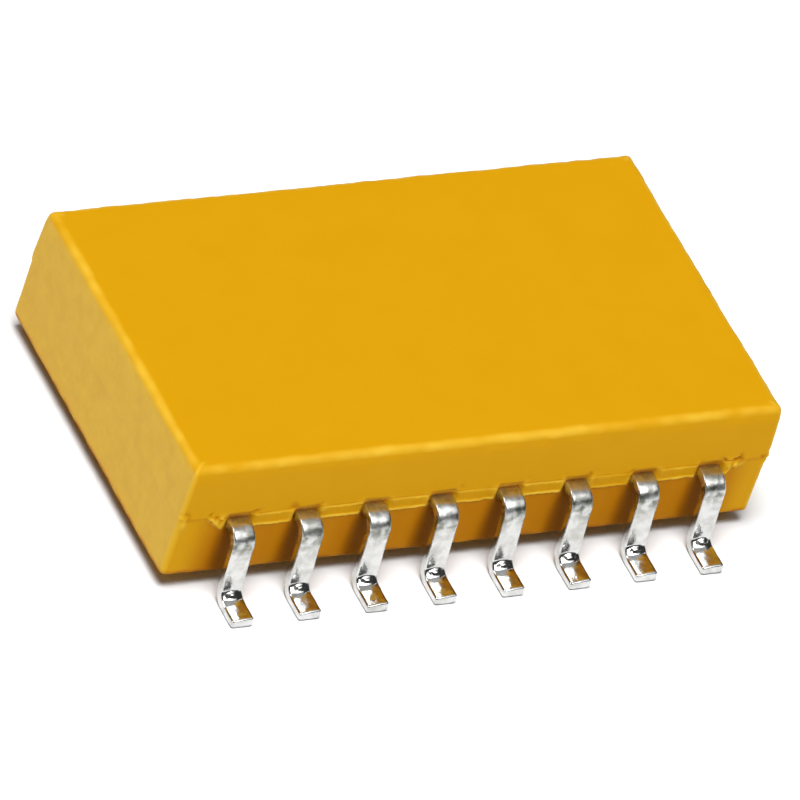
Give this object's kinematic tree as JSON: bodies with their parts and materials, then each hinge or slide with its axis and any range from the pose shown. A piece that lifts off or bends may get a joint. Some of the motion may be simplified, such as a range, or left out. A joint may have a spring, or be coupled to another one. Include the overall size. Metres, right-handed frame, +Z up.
{
  "type": "soic chip",
  "caption": "Small-outline surface-mount chip in a yellow moulded body, with gull-wing leads along both long sides.",
  "frame": {"origin": "middle of the footprint, on the board surface that the feet stand on", "axes": "+X along the body, from the end that holds lead 1; +Y across the body, away from lead 1's side; +Z up from the board"},
  "size_m": [0.0112, 0.0086, 0.0027],
  "materials": {
    "mould_compound": "satin",
    "tin_plating": "bright plated",
    "alumina": "matte, unglazed",
    "conductor": "fired, matte",
    "solder": "satin",
    "resistor_ink": "fired, matte",
    "overglaze": "glossy"
  },
  "bodies": {
    "root": {"body": "mould_compound", "substrate": "alumina", "terminations": "conductor", "overglaze": "overglaze", "resistor_1": "resistor_ink", "resistor_2": "resistor_ink", "resistor_3": "resistor_ink", "resistor_4": "resistor_ink", "resistor_5": "resistor_ink", "resistor_6": "resistor_ink", "resistor_7": "resistor_ink", "resistor_8": "resistor_ink", "solder_01": "solder", "solder_02": "solder", "solder_03": "solder", "solder_04": "solder", "solder_05": "solder", "solder_06": "solder", "solder_07": "solder", "solder_08": "solder", "solder_09": "solder", "solder_10": "solder", "solder_11": "solder", "solder_12": "solder", "solder_13": "solder", "solder_14": "solder", "solder_15": "solder", "solder_16": "solder", "lead_01": "tin_plating", "lead_02": "tin_plating", "lead_03": "tin_plating", "lead_04": "tin_plating", "lead_05": "tin_plating", "lead_06": "tin_plating", "lead_07": "tin_plating", "lead_08": "tin_plating", "lead_09": "tin_plating", "lead_10": "tin_plating", "lead_11": "tin_plating", "lead_12": "tin_plating", "lead_13": "tin_plating", "lead_14": "tin_plating", "lead_15": "tin_plating", "lead_16": "tin_plating"}
  },
  "joints": []
}
